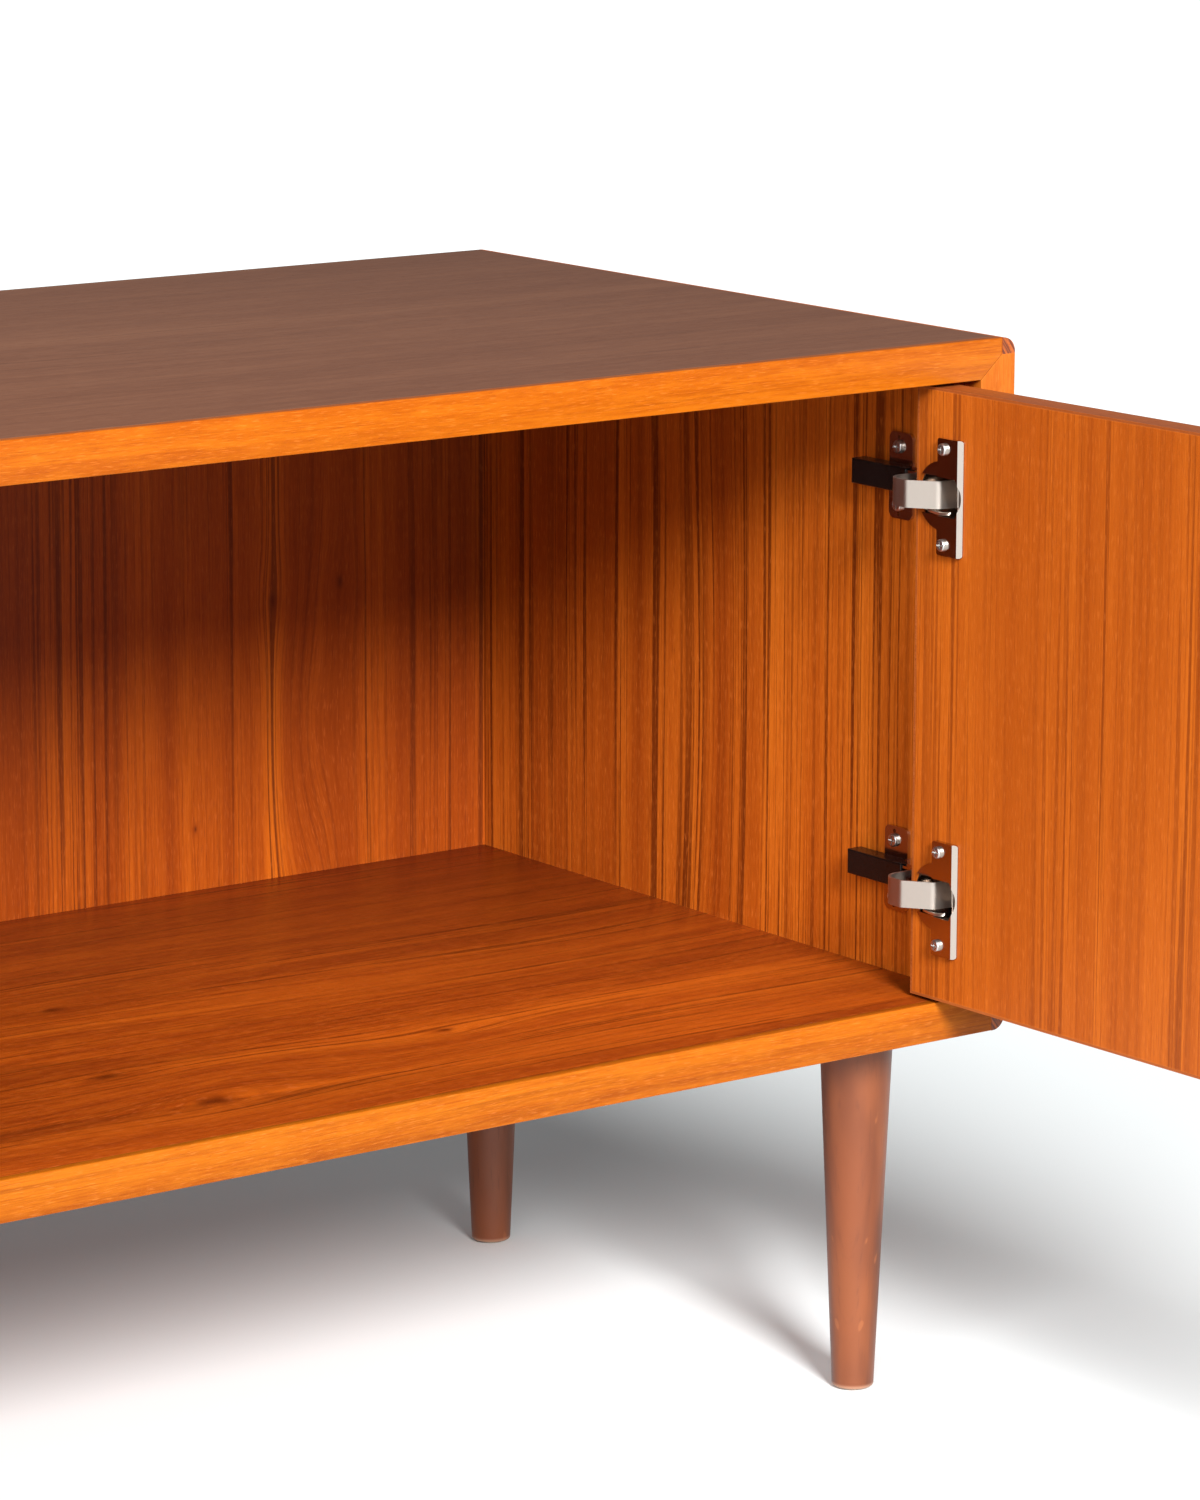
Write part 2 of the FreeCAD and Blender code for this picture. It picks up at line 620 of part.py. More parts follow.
def make_door_pieces():
    """Door panel, its edging, knob and knob screw, closed, right-hand, hinge edge at x = -door_gap."""
    x1 = -door_gap
    x0 = x1 - door_width
    z0, z1 = door_bottom, door_bottom + door_height
    e = edging_thickness
    core = box(x0 + e, x1 - e, 0, door_thickness, z0 + e, z1 - e)
    outer = [(x0, z0), (x1, z0), (x1, z1), (x0, z1)]
    inner = [(x0 + e, z0 + e), (x1 - e, z0 + e), (x1 - e, z1 - e), (x0 + e, z1 - e)]
    strips = []
    for i in range(4):
        j = (i + 1) % 4
        strips.append(prism([outer[i], outer[j], inner[j], inner[i]], 0, door_thickness))
    cuts = []
    cup_floor_y = door_thickness - cup_depth - cup_floor - hole_clearance
    cup_x = x1 - cup_from_edge
    for height in hinge_heights:
        cuts.append(rod(cup_diameter / 2 + hole_clearance,
                        V(cup_x, cup_floor_y, height), V(cup_x, door_thickness, height)))
        for x, z in cup_screw_places():
            start = V(x, door_thickness - cup_screw_depth(), height + z)
            cuts.append(rod(screw_diameter / 2 + hole_clearance, start, V(x, door_thickness, height + z)))
    kx = x0 + knob_from_free_edge
    kz = (z0 + z1) / 2
    screw_r = knob_screw_diameter / 2
    head_y0 = door_thickness - knob_screw_head_depth
    head_y1 = door_thickness - knob_screw_head_sunk
    cuts.append(rod(screw_r + hole_clearance, V(kx, 0, kz), V(kx, door_thickness, kz)))
    cuts.append(rod(2 * screw_r + screw_hole_fit, V(kx, head_y0, kz), V(kx, door_thickness, kz)))
    panel = core.cut(cuts)
    r = knob_diameter / 2
    profile = ((0, 0), (0.62, 0), (0.5, 0.2), (0.52, 0.38), (0.88, 0.55), (1.0, 0.72), (0.85, 0.9),
               (0.45, 0.98), (0, 1))
    corners = [V(kx + a * r, -b * knob_length, kz) for a, b in profile]
    turning = Part.BSplineCurve()
    turning.interpolate(corners[1:])
    edges = [Part.LineSegment(corners[0], corners[1]).toShape(), turning.toShape(),
             Part.LineSegment(corners[-1], corners[0]).toShape()]
    knob = Part.Face(Part.Wire(edges)).revolve(V(kx, 0, kz), V(0, 1, 0), 360)
    screw_end = V(kx, -knob_screw_bite, kz)
    knob = knob.cut(rod(screw_r + press_clearance, screw_end, V(kx, 0, kz)))
    screw = rod(screw_r, screw_end, V(kx, head_y1, kz))
    screw = screw.fuse(rod(2 * screw_r, V(kx, head_y0, kz), V(kx, head_y1, kz)))
    slot_width, slot_depth = knob_screw_slot
    screw = screw.cut(box(kx - 2 * screw_r, kx + 2 * screw_r, head_y1 - slot_depth, head_y1,
                          kz - slot_width / 2, kz + slot_width / 2))
    return (("door_panel", panel), ("door_edging", Part.Compound(strips)),
            ("door_knob", knob), ("door_knob_screw", screw))


# ---------------------------------------------------------------- placing the moving pieces

def place(shape, body, share):
    """Move a right-hand piece to a share of the opening: 0 is closed, 1 is opening_angle."""
    if body == "door":
        shape = turned(shape, outer_closed, (opening_angle - outer_turn) * share)
        return turned(shape, outer_fixed, outer_turn * share)
    if body == "outer":
        return turned(shape, outer_fixed, outer_turn * (share - 1))
    if body == "inner":
        return turned(shape, inner_fixed, inner_turn * (share - 1))
    return shape


def finish(shape, right):
    shape = moved(shape, side_face, 0, 0)
    return shape if right else mirrored(shape)


def make_doors():
    pieces = make_hinge_pieces()
    door_pieces = make_door_pieces()
    for side, right, angle in (("right", True, opening_angle), ("left", False, left_door_angle)):
        share = angle / opening_angle
        for name, shape in door_pieces:
            nodes[side + "_" + name] = finish(place(shape, "door", share), right)
        groups = {}
        for hinge, height in zip(hinge_names, hinge_heights):
            for name, body, shape in pieces:
                solid = finish(moved(place(shape, body, share), 0, 0, height), right)
                if name.endswith("s"):
                    groups.setdefault(name, []).extend(solid.Solids)
                else:
                    nodes["_".join((side, hinge, "hinge", name))] = solid
        for name, solids in groups.items():
            nodes[side + "_hinge_" + name] = Part.Compound(solids)


def write_nodes():
    whole = Part.Compound(list(nodes.values())).BoundBox
    shift = V(-whole.Center.x, -whole.Center.y, -whole.ZMin)
    os.makedirs("parts", exist_ok=True)
    for name, shape in nodes.items():
        shape.translate(shift)
        shape.exportStep("parts/" + name + ".step")
    print("nodes", len(nodes), "box", whole.XLength, whole.YLength, whole.ZLength)
    print("shift", shift.x, shift.y, shift.z)
    for side, sign in (("right", 1), ("left", -1)):
        share = (opening_angle if sign > 0 else left_door_angle) / opening_angle
        door_pin = turn_point(outer_open, outer_fixed, outer_turn * (share - 1))
        pins = (("arm pin outer", outer_fixed), ("arm pin inner", inner_fixed), ("cup pin", door_pin))
        for name, p in pins:
            print(side, name, sign * (side_face + p[0]) + shift.x, p[1] + shift.y)
    print("turns", opening_angle - outer_turn, outer_turn, inner_turn)


make_carcase()
make_legs()
make_doors()
write_nodes()
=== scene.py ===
import bpy
import math
from mathutils import Matrix, Vector


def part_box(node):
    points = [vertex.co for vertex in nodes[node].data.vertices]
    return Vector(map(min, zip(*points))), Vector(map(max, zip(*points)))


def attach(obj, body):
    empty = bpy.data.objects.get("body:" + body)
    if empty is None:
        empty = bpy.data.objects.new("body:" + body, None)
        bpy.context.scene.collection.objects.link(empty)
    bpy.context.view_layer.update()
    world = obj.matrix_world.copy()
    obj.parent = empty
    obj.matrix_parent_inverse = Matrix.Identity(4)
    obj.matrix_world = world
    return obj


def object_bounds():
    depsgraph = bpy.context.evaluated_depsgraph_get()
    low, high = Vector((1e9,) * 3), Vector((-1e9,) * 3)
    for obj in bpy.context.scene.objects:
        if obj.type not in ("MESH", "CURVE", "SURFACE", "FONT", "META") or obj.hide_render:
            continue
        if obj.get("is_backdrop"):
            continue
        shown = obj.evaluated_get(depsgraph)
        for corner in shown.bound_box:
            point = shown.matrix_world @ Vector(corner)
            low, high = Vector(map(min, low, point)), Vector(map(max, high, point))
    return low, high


# A TV stand with two doors. The CAD pieces keep their shapes and get materials here, and each hinge cup
# gets a small spring. Lengths are metres, in the frame's axes: the front faces -Y and Z is up.
# In the board materials, u runs across the grain and w along it.

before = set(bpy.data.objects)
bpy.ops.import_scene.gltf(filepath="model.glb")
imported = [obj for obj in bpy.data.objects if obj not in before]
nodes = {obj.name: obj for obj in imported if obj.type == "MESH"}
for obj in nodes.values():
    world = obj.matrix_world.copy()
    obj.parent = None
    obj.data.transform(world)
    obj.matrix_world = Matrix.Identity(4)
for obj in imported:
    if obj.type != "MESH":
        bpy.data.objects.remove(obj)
cad_low, cad_high = (list(corner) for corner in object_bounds())

SIDES = ("right", "left")
HINGES = ("lower", "upper")

# ---- places, from the frame ----
sole_z = cad_low[2]
top_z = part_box("top_panel")[1][2]
shelf_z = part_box("bottom_panel")[1][2]
back_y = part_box("back_panel")[0][1]
side_low, side_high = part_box("right_side_panel")
side_x = side_low[0]
side_mid_y = (side_low[1] + side_high[1]) / 2
front_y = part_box("top_front_lipping")[0][1]
open_door_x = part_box("right_door_panel")[0][0]
bay_front = Vector((side_x, front_y, shelf_z))


# ---------------------------------------------------------------- shader helpers

class Graph:
    """A material's node tree, built one value at a time."""

    def __init__(self, name):
        self.material = bpy.data.materials.new(name)
        self.material.use_nodes = True
        self.tree = self.material.node_tree
        self.tree.nodes.clear()
        output = self.tree.nodes.new("ShaderNodeOutputMaterial")
        self.shader = self.tree.nodes.new("ShaderNodeBsdfPrincipled")
        self.tree.links.new(self.shader.outputs[0], output.inputs[0])
        place = self.tree.nodes.new("ShaderNodeTexCoord")
        split = self.tree.nodes.new("ShaderNodeSeparateXYZ")
        self.tree.links.new(place.outputs["Object"], split.inputs[0])
        self.axes = dict(zip("XYZ", split.outputs))
        self.point = place.outputs["Object"]

    def put(self, socket, value):
        """Link a socket to another one, or set it to a number or a vector."""
        if isinstance(value, bpy.types.NodeSocket):
            self.tree.links.new(value, socket)
        else:
            socket.default_value = value

    def set(self, name, value):
        """Link or set one of the shader's own sockets."""
        self.put(self.shader.inputs[name], value)

    def math(self, operation, *values):
        node = self.tree.nodes.new("ShaderNodeMath")
        node.operation = operation
        for socket, value in zip(node.inputs, values):
            self.put(socket, value)
        return node.outputs[0]

    def add(self, a, b):
        return self.math("ADD", a, b)

    def times(self, a, b):
        return self.math("MULTIPLY", a, b)

    def most(self, a, b):
        return self.math("MAXIMUM", a, b)

    def vector(self, x, y, z):
        node = self.tree.nodes.new("ShaderNodeCombineXYZ")
        for socket, value in zip(node.inputs, (x, y, z)):
            self.put(socket, value)
        return node.outputs[0]

    def noise(self, vector, scale=1.0, detail=2.0, roughness=0.5, distortion=0.0):
        node = self.tree.nodes.new("ShaderNodeTexNoise")
        node.noise_dimensions = "3D"
        self.put(node.inputs["Vector"], vector)
        node.inputs["Scale"].default_value = scale
        node.inputs["Detail"].default_value = detail
        node.inputs["Roughness"].default_value = roughness
        node.inputs["Distortion"].default_value = distortion
        return node.outputs[0]

    def streaks(self, u, w, scales, seed, **options):
        """Noise with its own scale across the grain and along it, in waves per metre."""
        across, along = scales
        return self.noise(self.vector(self.times(u, across), self.times(w, along), seed), **options)

    def step(self, value, low, high, bottom=0.0, top=1.0):
        """A smooth rise from bottom to top while the value goes from low to high."""
        node = self.tree.nodes.new("ShaderNodeMapRange")
        node.interpolation_type = "SMOOTHSTEP"
        self.put(node.inputs[0], value)
        for socket, number in zip(list(node.inputs)[1:5], (low, high, bottom, top)):
            socket.default_value = number
        return node.outputs[0]

    def mix(self, share, a, b):
        """Colour a with a share of colour b over it."""
        node = self.tree.nodes.new("ShaderNodeMix")
        node.data_type = "RGBA"
        self.put(node.inputs[0], share)
        for socket, value in ((node.inputs[6], a), (node.inputs[7], b)):
            self.put(socket, value if isinstance(value, bpy.types.NodeSocket) else (*value, 1.0))
        return node.outputs[2]

    def hill(self, u, w, u0, w0, half_u, half_w):
        """A smooth hill of height 1 round a place on the surface."""
        du = self.times(self.add(u, -u0), 1 / half_u)
        dw = self.times(self.add(w, -w0), 1 / half_w)
        square = self.add(self.times(du, du), self.times(dw, dw))
        return self.math("POWER", math.e, self.times(square, -1.0))

    def bump(self, height, strength, distance):
        node = self.tree.nodes.new("ShaderNodeBump")
        node.inputs["Strength"].default_value = strength
        node.inputs["Distance"].default_value = distance
        self.put(node.inputs["Height"], height)
        self.set("Normal", node.outputs[0])

    def edge_mask(self, radius):
        """Near 1 on sharp edges, 0 on flat stretches."""
        bevel = self.tree.nodes.new("ShaderNodeBevel")
        bevel.samples = 4
        bevel.inputs["Radius"].default_value = radius
        flat = self.tree.nodes.new("ShaderNodeNewGeometry")
        dot = self.tree.nodes.new("ShaderNodeVectorMath")
        dot.operation = "DOT_PRODUCT"
        self.tree.links.new(bevel.outputs[0], dot.inputs[0])
        self.tree.links.new(flat.outputs["Normal"], dot.inputs[1])
        return self.step(dot.outputs["Value"], 0.999, 0.8)


def lighter(colour, factor, lift):
    return [min(1.0, factor * c + lift) for c in colour]


# ---------------------------------------------------------------- teak

# Four colours each: light wood, middle, dark wood, growth lines.
TEAK = ((0.68, 0.180, 0.014), (0.54, 0.116, 0.007), (0.31, 0.052, 0.003), (0.120, 0.016, 0.001))
TEAK_LIGHT, TEAK_MID, TEAK_DARK, TEAK_LINE = TEAK
BACK_TEAK = ((0.47, 0.105, 0.005), (0.35, 0.064, 0.003), (0.20, 0.029, 0.0015), (0.085, 0.011, 0.001))
SHELF_TEAK = ((0.46, 0.095, 0.006), (0.32, 0.052, 0.003), (0.175, 0.024, 0.002), (0.075, 0.010, 0.001))
TOP_TEAK = ((0.255, 0.105, 0.052), (0.205, 0.080, 0.040), (0.155, 0.056, 0.027), (0.090, 0.030, 0.014))
DOOR_TEAK = ((0.60, 0.155, 0.012), (0.50, 0.112, 0.008), (0.33, 0.062, 0.004), (0.17, 0.026, 0.002))
SOLID_TEAK = ((0.52, 0.145, 0.006), (0.42, 0.098, 0.003), (0.29, 0.055, 0.002), (0.15, 0.024, 0.001))
UPRIGHT_TEAK = ((0.54, 0.160, 0.016), (0.42, 0.100, 0.008), (0.30, 0.060, 0.004), TEAK_DARK)
LOW_LIPPING_PAINTED_SHADE = 0.76                # painted shade: the bottom lipping's teak is the top one's, darkened by this share
PAINTED_SHADE_LOW_TEAK = [[LOW_LIPPING_PAINTED_SHADE * c for c in colour] for colour in SOLID_TEAK]
EDGING_TEAK = ((0.42, 0.115, 0.022), (0.33, 0.080, 0.014), (0.24, 0.050, 0.009), TEAK_LINE)
BEECH = ((0.72, 0.50, 0.30), (0.62, 0.41, 0.23), (0.50, 0.31, 0.16), (0.36, 0.20, 0.10))

# Scales of the grain's noises, across the grain and along it, in waves per metre.
SWAY = (7.0, 1.9)               # slow bending of all lines
BROAD = (16.0, 0.6)             # light and dark stretches of a board
BANDS = (62.0, 0.9)             # clusters of growth lines
PINS = (300.0, 1.6)             # growth lines
THREADS = (620.0, 3.0)          # hairlines between them
FIBRES = (950.0, 26.0)
HAIRS = (2000.0, 120.0)         # pores and bright flecks
CLOUDS = (190.0, 26.0)          # mottles
SWIRLS = (240.0, 60.0)          # round knots
THROUGH = 0.8                   # how fast the lines shift from a board's face inwards
KNOT_REACH = (2.2, 6.0)         # of the lines that part round a knot, in knot sizes, across and along
KNOT_PART = 0.62                # how far they part
KNOT_EYE = (0.42, 0.80)         # in knot sizes, across and along
KNOT_HALO = (1.1, 2.6)
# radius of the sharp edges that get a painted highlight
PAINTED_HIGHLIGHT_EDGE = 0.0012


def bend_lines(g, u, w, seed, drift, arches, knots):
    """Let the growth lines sway, rise in arches, and part round knots."""
    sway = g.streaks(u, w, SWAY, seed, detail=1.0)
    bent = g.add(u, g.times(g.add(sway, -0.5), 2 * drift))
    for u0, w0, half_u, half_w, push in arches:
        bell = g.hill(u, w, u0, w0, half_u, half_w)
        bent = g.add(bent, g.times(bell, g.times(g.add(w, -w0), push)))
    for u0, w0, size in knots:
        bell = g.hill(u, w, u0, w0, *(size * reach for reach in KNOT_REACH))
        bent = g.add(bent, g.times(g.add(u, -u0), g.times(bell, -KNOT_PART)))
    return bent


def paint_knots(g, colour, u, w, bent, seed, knots, colours):
    """A dark eye in each knot, in a halo of dark swirls."""
    eye = halo = 0.0
    for u0, w0, size in knots:
        eye = g.most(eye, g.hill(u, w, u0, w0, *(size * reach for reach in KNOT_EYE)))
        halo = g.most(halo, g.hill(u, w, u0, w0, *(size * reach for reach in KNOT_HALO)))
    swirl = g.streaks(bent, w, SWIRLS, seed + 6.0)
    colour = g.mix(g.times(g.times(halo, g.step(swirl, 0.40, 0.60)), 0.62), colour, colours[2])
    return g.mix(g.times(eye, 0.85), colour, colours[3])


def teak(name, along, across, seed, face=0.0, colours=TEAK, lines=0.8, lines_from=0.54, contrast=1.0,
         drift=0.004, rough=0.42, specular=0.22, flecks=0.16, mottle=0.0, stretch=1.0, knots=(), arches=()):
    """Oiled teak whose grain runs along one axis, with dark growth lines side by side across it.

    The lines go on round the edges, because they also vary through the board, from its face inwards.
    A knot is (u, w, size), and an arch is (u, w, half width, half length, push).
    """
    g = Graph(name)
    light, middle, dark, line = colours
    through = ({"X", "Y", "Z"} - {along, across}).pop()
    u = g.add(g.axes[across], g.times(g.add(g.axes[through], -face), THROUGH))
    w = g.axes[along]
    bent = bend_lines(g, u, w, seed, drift, arches, knots)

    def layer(scales, offset, stretched=stretch, **options):
        return g.streaks(bent, w, (scales[0], scales[1] * stretched), seed + offset, **options)

    broad = layer(BROAD, 3.1)
    bands = layer(BANDS, 7.7, detail=3.0, roughness=0.6)
    pins = layer(PINS, 1.3, roughness=0.62)
    threads = layer(THREADS, 2.9, detail=1.0)
    fibres = layer(FIBRES, 0.0)
    hairs = layer(HAIRS, 5.0, stretched=1.0, detail=1.0)

    tone = g.add(g.times(broad, 0.40), g.add(g.times(bands, 0.38), g.times(fibres, 0.22)))
    spread = 0.16 / contrast
    colour = g.mix(g.step(tone, 0.5 - spread, 0.5 + spread), dark, middle)
    colour = g.mix(g.step(tone, 0.48, 0.5 + 1.6 * spread), colour, light)
    cluster = g.step(bands, 0.44, 0.60)
    thin = g.step(pins, lines_from, lines_from + 0.09)
    growth = g.times(g.times(thin, g.step(cluster, 0.0, 1.0, 0.35, 1.0)), lines)
    colour = g.mix(growth, colour, line)
    hairlines = g.times(g.step(threads, 0.53, 0.62), cluster)
    colour = g.mix(g.times(hairlines, 0.55 * lines), colour, line)
    colour = g.mix(g.times(g.step(fibres, 0.56, 0.72), 0.35), colour, dark)
    colour = g.mix(g.times(g.step(hairs, 0.58, 0.70), flecks), colour, lighter(light, 1.35, 0.03))
    pores = g.step(hairs, 0.38, 0.28)
    colour = g.mix(g.times(pores, 0.26), colour, line)
    if mottle:
        cloud = g.streaks(u, w, CLOUDS, seed + 9.0, detail=4.0, roughness=0.65)
        colour = g.mix(g.times(g.step(cloud, 0.42, 0.68), mottle), colour, light)
    if knots:
        colour = paint_knots(g, colour, u, w, bent, seed, knots, colours)
    # painted highlight: the sharp edges are made paler, as light catching them would make them
    edge_highlight_share = g.times(g.edge_mask(PAINTED_HIGHLIGHT_EDGE), 0.22)
    g.set("Base Color", g.mix(edge_highlight_share, colour, lighter(light, 1.25, 0.02)))
    sheen = g.add(rough, g.times(g.add(fibres, -0.5), 0.22))
    g.set("Roughness", g.add(sheen, g.times(pores, 0.12)))
    g.set("Specular IOR Level", specular)
    height = g.add(g.times(fibres, 0.5), g.times(pores, -0.8))
    g.bump(g.add(height, g.times(growth, -0.3)), 0.18, 0.0004)
    return g.material


def end_grain(name, along, seed):
    """Teak strip whose ends show end grain with slanting growth lines."""
    g = Graph(name)
    face = g.tree.nodes.new("ShaderNodeNewGeometry")
    split = g.tree.nodes.new("ShaderNodeSeparateXYZ")
    g.tree.links.new(face.outputs["Normal"], split.inputs[0])
    is_end = g.step(g.math("ABSOLUTE", split.outputs["XYZ".index(along)]), 0.7, 0.9)

    slant = g.add(g.axes["X"], g.times(g.axes["Z"], 0.7))
    rings = g.streaks(slant, g.axes["Z"], (620.0, 60.0), seed)
    pores = g.noise(g.point, scale=2600.0, detail=1.0)
    ends = g.mix(g.step(rings, 0.40, 0.62), (0.11, 0.018, 0.002), (0.36, 0.075, 0.006))
    ends = g.mix(g.times(g.step(pores, 0.55, 0.7), 0.5), ends, (0.03, 0.007, 0.002))

    u = g.add(g.axes["X"], g.axes["Z"])
    streak = g.streaks(u, g.axes[along], (260.0, 3.0), seed, detail=3.0)
    fibre = g.streaks(u, g.axes[along], (1400.0, 40.0), seed)
    flanks = g.mix(g.step(streak, 0.36, 0.62), TEAK_DARK, TEAK_MID)
    flanks = g.mix(g.times(g.step(fibre, 0.5, 0.7), 0.4), flanks, TEAK_LIGHT)

    g.set("Base Color", g.mix(is_end, flanks, ends))
    g.set("Roughness", g.add(0.42, g.times(fibre, 0.14)))
    g.bump(g.add(fibre, g.times(pores, 0.6)), 0.25, 0.0003)
    return g.material


# ---------------------------------------------------------------- leg wood

LEG_DARK, LEG_LIGHT, LEG_WARM = (0.098, 0.023, 0.006), (0.176, 0.043, 0.010), (0.216, 0.057, 0.014)
# the last colour here is a painted reflection of the white floor on the sole edge
LEG_FIBRE, LEG_HOOK, LEG_SOLE_REFLECTION = (0.070, 0.016, 0.005), (0.28, 0.083, 0.023), (0.40, 0.22, 0.14)
SOLE_REFLECTION_FADE = (0.0042, 0.0016)    # where the painted reflection of the floor on the sole edge starts and is full, above the floor


def leg_wood(name, seed):
    """Close-grained stained hardwood, satin, with soft figure, and a paler sole edge that is a painted
    reflection of the white floor.
    """
    g = Graph(name)
    z = g.axes["Z"]
    around = g.add(g.axes["X"], g.times(g.axes["Y"], 0.8))
    drift = g.streaks(around, z, (20.0, 6.0), seed, detail=1.0)
    u = g.add(around, g.times(drift, 0.02))
    soft = g.streaks(u, z, (55.0, 4.0), seed, detail=3.0, roughness=0.55)
    fibre = g.streaks(u, z, (900.0, 60.0), seed)
    cloud = g.noise(g.vector(g.axes["X"], g.axes["Y"], g.times(z, 0.35)), scale=42.0)
    hook = g.streaks(u, z, (130.0, 38.0), seed + 4.0, detail=1.0, distortion=0.8)

    colour = g.mix(g.step(soft, 0.34, 0.66), LEG_DARK, LEG_LIGHT)
    colour = g.mix(g.times(g.step(cloud, 0.42, 0.7), 0.55), colour, LEG_WARM)
    colour = g.mix(g.times(g.step(fibre, 0.55, 0.75), 0.30), colour, LEG_FIBRE)
    colour = g.mix(g.times(g.step(hook, 0.66, 0.72), 0.55), colour, LEG_HOOK)
    # painted reflection: the sole edge is made paler, as the bright floor would light it
    sole_reflection = g.step(z, *(sole_z + height for height in SOLE_REFLECTION_FADE))
    g.set("Base Color", g.mix(g.times(sole_reflection, 0.75), colour, LEG_SOLE_REFLECTION))
    g.set("Roughness", g.add(0.33, g.times(g.add(soft, fibre), 0.10)))
    g.set("Specular IOR Level", 0.5)
    g.bump(g.add(g.times(fibre, 0.4), soft), 0.12, 0.0004)
    return g.material


# ---------------------------------------------------------------- metal and plastic

def metal(name, colour, rough, brushed=0.0):
    """Plated sheet metal with faint cloudiness, fine scratches, and brighter edges that are a painted
    highlight.
    """
    g = Graph(name)
    cloud = g.noise(g.point, scale=180.0, detail=3.0)
    squeezed = (g.times(g.axes[axis], scale) for axis, scale in zip("XYZ", (500.0, 500.0, 9000.0)))
    scratch = g.noise(g.vector(*squeezed))
    edge_highlight = g.edge_mask(0.0004)
    tint = g.mix(g.times(cloud, 0.35), colour, [0.82 * c for c in colour])
    # painted highlight: the sharp edges are made paler
    g.set("Base Color", g.mix(g.times(edge_highlight, 0.5), tint, lighter(colour, 1.15, 0.05)))
    g.set("Metallic", 1.0)
    value = g.add(rough, g.times(g.add(cloud, -0.5), 0.12))
    g.set("Roughness", g.add(value, g.times(scratch, brushed)))
    g.bump(g.add(g.times(scratch, brushed * 3), g.times(cloud, 0.3)), 0.06, 0.0002)
    return g.material


def plastic(name, colour, rough, speckle):
    """Moulded plastic with a fine spark texture, and brighter edges that are a painted highlight."""
    g = Graph(name)
    grain = g.noise(g.point, scale=1800.0)
    cloud = g.noise(g.point, scale=90.0)
    edge_highlight = g.edge_mask(0.0006)
    tint = g.mix(g.times(cloud, 0.4), colour, [1.6 * c + 0.004 for c in colour])
    # painted highlight: the sharp edges are made paler
    g.set("Base Color", g.mix(g.times(edge_highlight, 0.35), tint, lighter(colour, 2.2, 0.02)))
    g.set("Roughness", g.add(rough, g.times(grain, 0.15)))
    g.bump(grain, speckle, 0.0002)
    return g.material


# ---------------------------------------------------------------- the boards' own materials

def side_teak():
    """Bold straight lines, with a low arch in the middle of the board."""
    return teak("teak_side", "Z", "Y", 2.0, face=side_x, lines=0.88, lines_from=0.50, contrast=1.05,
                flecks=0.24, arches=((side_mid_y - 0.01, shelf_z - 0.05, 0.030, 0.26, 0.07),))


def back_teak():
    """Fine straight lines, a pointed arch and three small knots, placed as in the photograph."""
    knot_z = shelf_z + 0.175
    return teak("teak_back", "Z", "X", 11.0, face=back_y, colours=BACK_TEAK,
                lines=0.75, lines_from=0.53, contrast=1.1, drift=0.004,
                arches=((side_x - 0.128, shelf_z + 0.02, 0.020, 0.10, 0.28),
                        (-0.35, shelf_z + 0.05, 0.05, 0.25, 0.25)),
                knots=((side_x - 0.105, knot_z, 0.0045),
                       (side_x - 0.153, knot_z - 0.007, 0.0055),
                       (side_x - 0.209, shelf_z + 0.037, 0.0022)))


def shelf_teak():
    """Wavy lines that part round knots. Those in the right bay are placed as in the photograph."""
    return teak("teak_floor", "X", "Y", 23.0, face=shelf_z, colours=SHELF_TEAK,
                lines=0.70, lines_from=0.54, contrast=1.10, drift=0.022, rough=0.34,
                flecks=0.22, mottle=0.25, stretch=1.6,
                knots=((front_y + 0.134, side_x - 0.473, 0.011), (front_y + 0.062, side_x - 0.454, 0.013),
                       (front_y + 0.110, side_x - 0.276, 0.006), (front_y + 0.270, side_x - 0.425, 0.008),
                       (front_y + 0.30, -0.30, 0.010), (front_y + 0.15, -0.45, 0.009)),
                arches=((front_y + 0.10, side_x - 0.36, 0.040, 0.10, 0.30),
                        (front_y + 0.23, side_x - 0.30, 0.045, 0.30, 0.14),
                        (front_y + 0.12, -0.35, 0.05, 0.35, -0.12)))


def top_teak():
    """Duller and browner than the rest, with a soft wide arch."""
    return teak("teak_top", "X", "Y", 31.0, face=top_z, colours=TOP_TEAK, lines=0.35, lines_from=0.58,
                contrast=0.8, drift=0.010, rough=0.50, flecks=0.15, mottle=0.30, stretch=1.6,
                arches=((front_y + 0.20, 0.10, 0.06, 0.40, 0.12),))


def door_teak(name, across, seed, face=0.0):
    return teak(name, "Z", across, seed, face=face, colours=DOOR_TEAK, lines=0.62, lines_from=0.50,
                contrast=0.95, drift=0.003)


def lipping_teak(name, along, across, seed, colours, specular=0.12, **options):
    return teak(name, along, across, seed, face=front_y, colours=colours, specular=specular, **options)


# ---------------------------------------------------------------- assigning

def dress(name, material):
    mesh = nodes[name].data
    mesh.materials.clear()
    mesh.materials.append(material)


def dress_boards():
    side = side_teak()
    for name in ("right_side_panel", "left_side_panel", "centre_partition"):
        dress(name, side)
    dress("back_panel", back_teak())
    dress("bottom_panel", shelf_teak())
    dress("top_panel", top_teak())
    # the right door stands open, so its lines lie side by side along Y
    dress("right_door_panel", door_teak("teak_right_door", "Y", 41.0, face=open_door_x))
    dress("left_door_panel", door_teak("teak_left_door", "X", 45.0))


